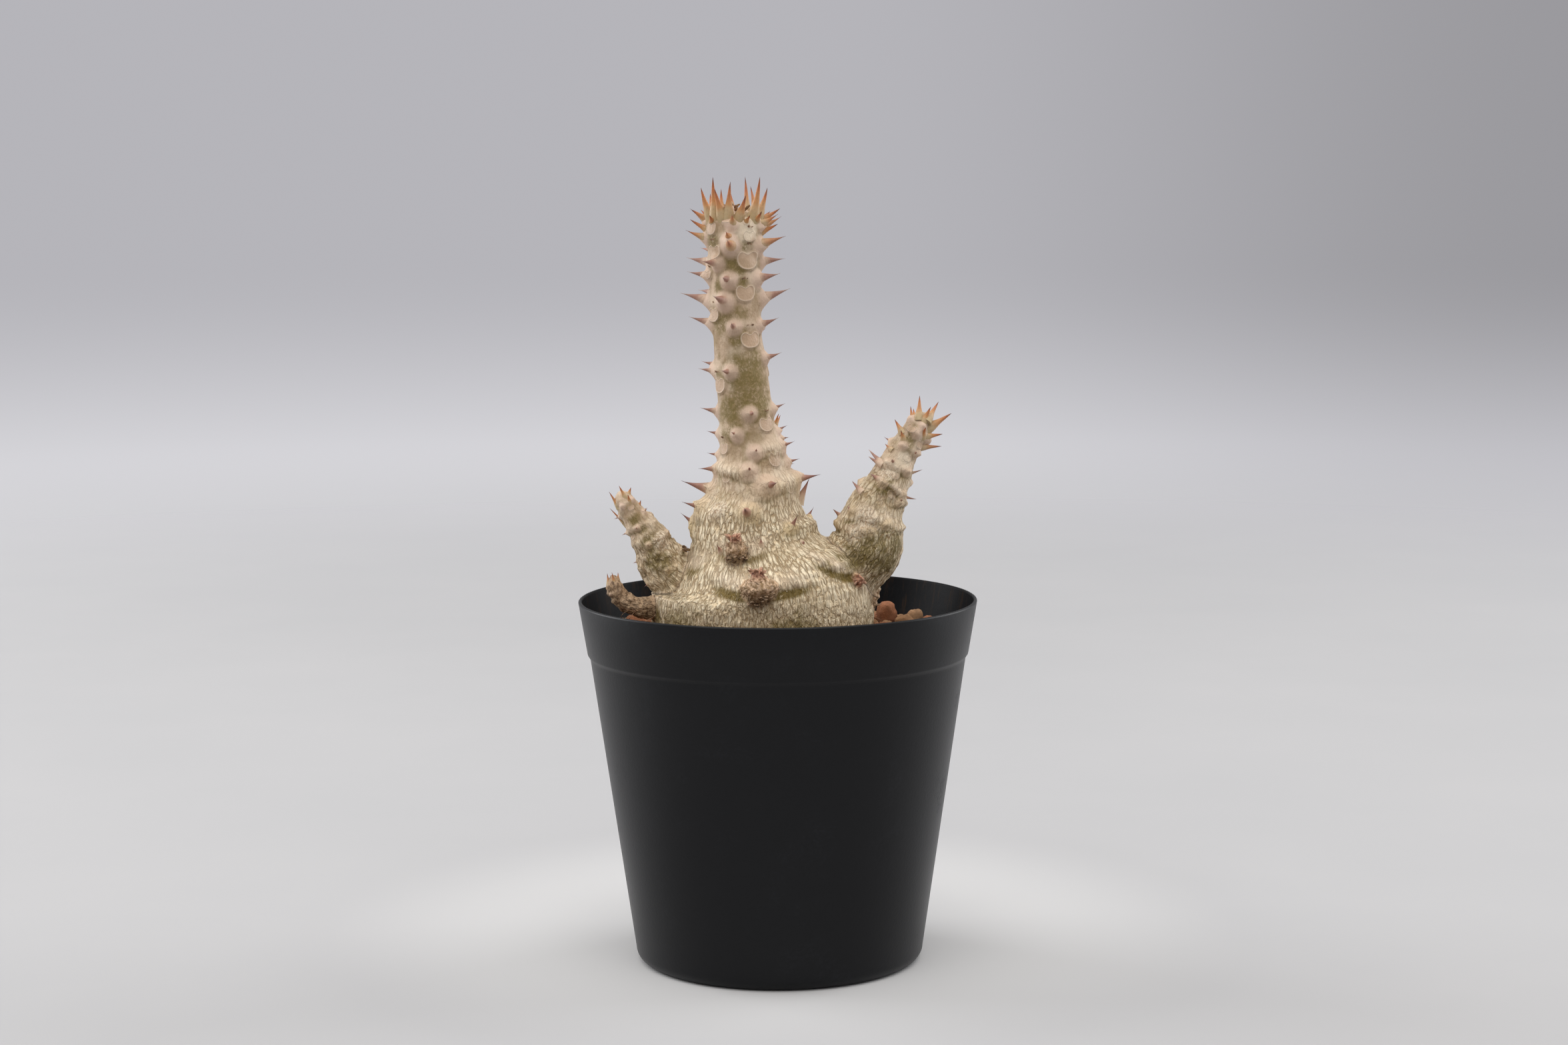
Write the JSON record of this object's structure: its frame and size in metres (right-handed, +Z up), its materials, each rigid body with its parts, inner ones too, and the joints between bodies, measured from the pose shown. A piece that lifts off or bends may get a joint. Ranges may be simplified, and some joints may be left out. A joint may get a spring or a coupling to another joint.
{
  "type": "potted pachypodium",
  "caption": "Spiny caudex plant with a tall trunk and short side branches, standing in gritty potting mix in a plain round black nursery pot.",
  "frame": {"origin": "centre of the pot's base, on the surface that it stands on", "axes": "+Z up, -Y towards the plant's front, +X to the right seen from the front"},
  "size_m": [0.09, 0.09, 0.1771],
  "materials": {
    "pot_plastic": "satin",
    "potting_mix": "matte",
    "plant_bark": "matte"
  },
  "bodies": {
    "root": {"pot": "pot_plastic", "soil": "potting_mix", "plant": "plant_bark"}
  },
  "joints": []
}
